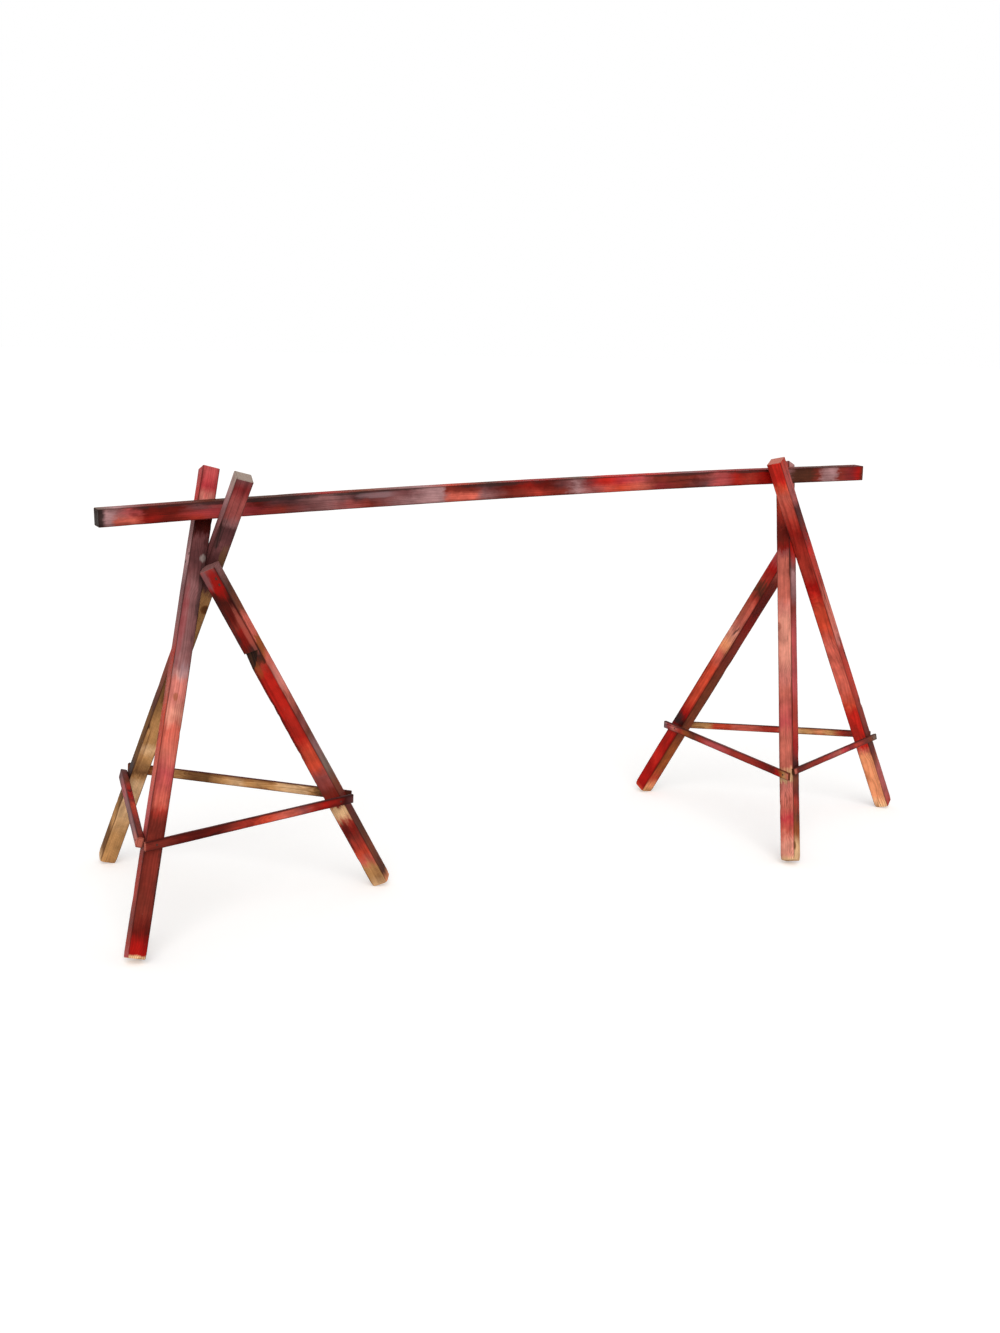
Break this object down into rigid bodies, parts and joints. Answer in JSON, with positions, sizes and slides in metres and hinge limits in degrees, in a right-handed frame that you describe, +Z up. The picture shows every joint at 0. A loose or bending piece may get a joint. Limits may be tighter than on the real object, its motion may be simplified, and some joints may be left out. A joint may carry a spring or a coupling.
{
  "type": "trestle stand with a loose rail",
  "caption": "Rough timber trestle stand: a long bowed rail lying loose in the forks of crossed-leg, propped and lath-braced trestles, all nailed, under patchy worn red paint.",
  "frame": {"origin": "on the floor, under the middle of the stand's outline in plan", "axes": "+X along the rail from the lower, left end to the right end, +Y to the back, +Z up"},
  "size_m": [2.6285, 0.8212, 1.1664],
  "materials": {
    "rail_paint": "patchy sprayed red, brown and grey paint on a planed batten, satin",
    "leg_paint": "patchy sprayed red and brown paint with bare tan wood below, satin",
    "prop_paint": "patchy sprayed red and brown paint with bare tan wood at the foot, satin",
    "lath_paint": "thin red paint over sawn wood, matt",
    "nail_steel": "dull, slightly rusted nail heads"
  },
  "bodies": {
    "left_trestle": {"left_outer_leg": "leg_paint", "left_inner_leg": "leg_paint", "left_prop": "prop_paint", "left_front_lath": "lath_paint", "left_back_lath": "lath_paint", "left_end_lath": "lath_paint", "left_crossing_nails": "nail_steel", "left_prop_nails": "nail_steel", "left_lath_nails": "nail_steel"},
    "right_trestle": {"right_outer_leg": "leg_paint", "right_inner_leg": "leg_paint", "right_prop": "prop_paint", "right_front_lath": "lath_paint", "right_back_lath": "lath_paint", "right_end_lath": "lath_paint", "right_crossing_nails": "nail_steel", "right_prop_nails": "nail_steel", "right_lath_nails": "nail_steel"},
    "rail": {"rail": "rail_paint"}
  },
  "joints": [
    {"name": "rail_lift", "type": "slide", "parent": "left_trestle", "child": "rail", "axis": [0, 0.0499, 0.9988], "range_m": [0, 0.3]},
    {"name": "trestle_spacing", "type": "slide", "parent": "left_trestle", "child": "right_trestle", "axis": [1, 0, 0], "range_m": [0, 0.15]}
  ]
}
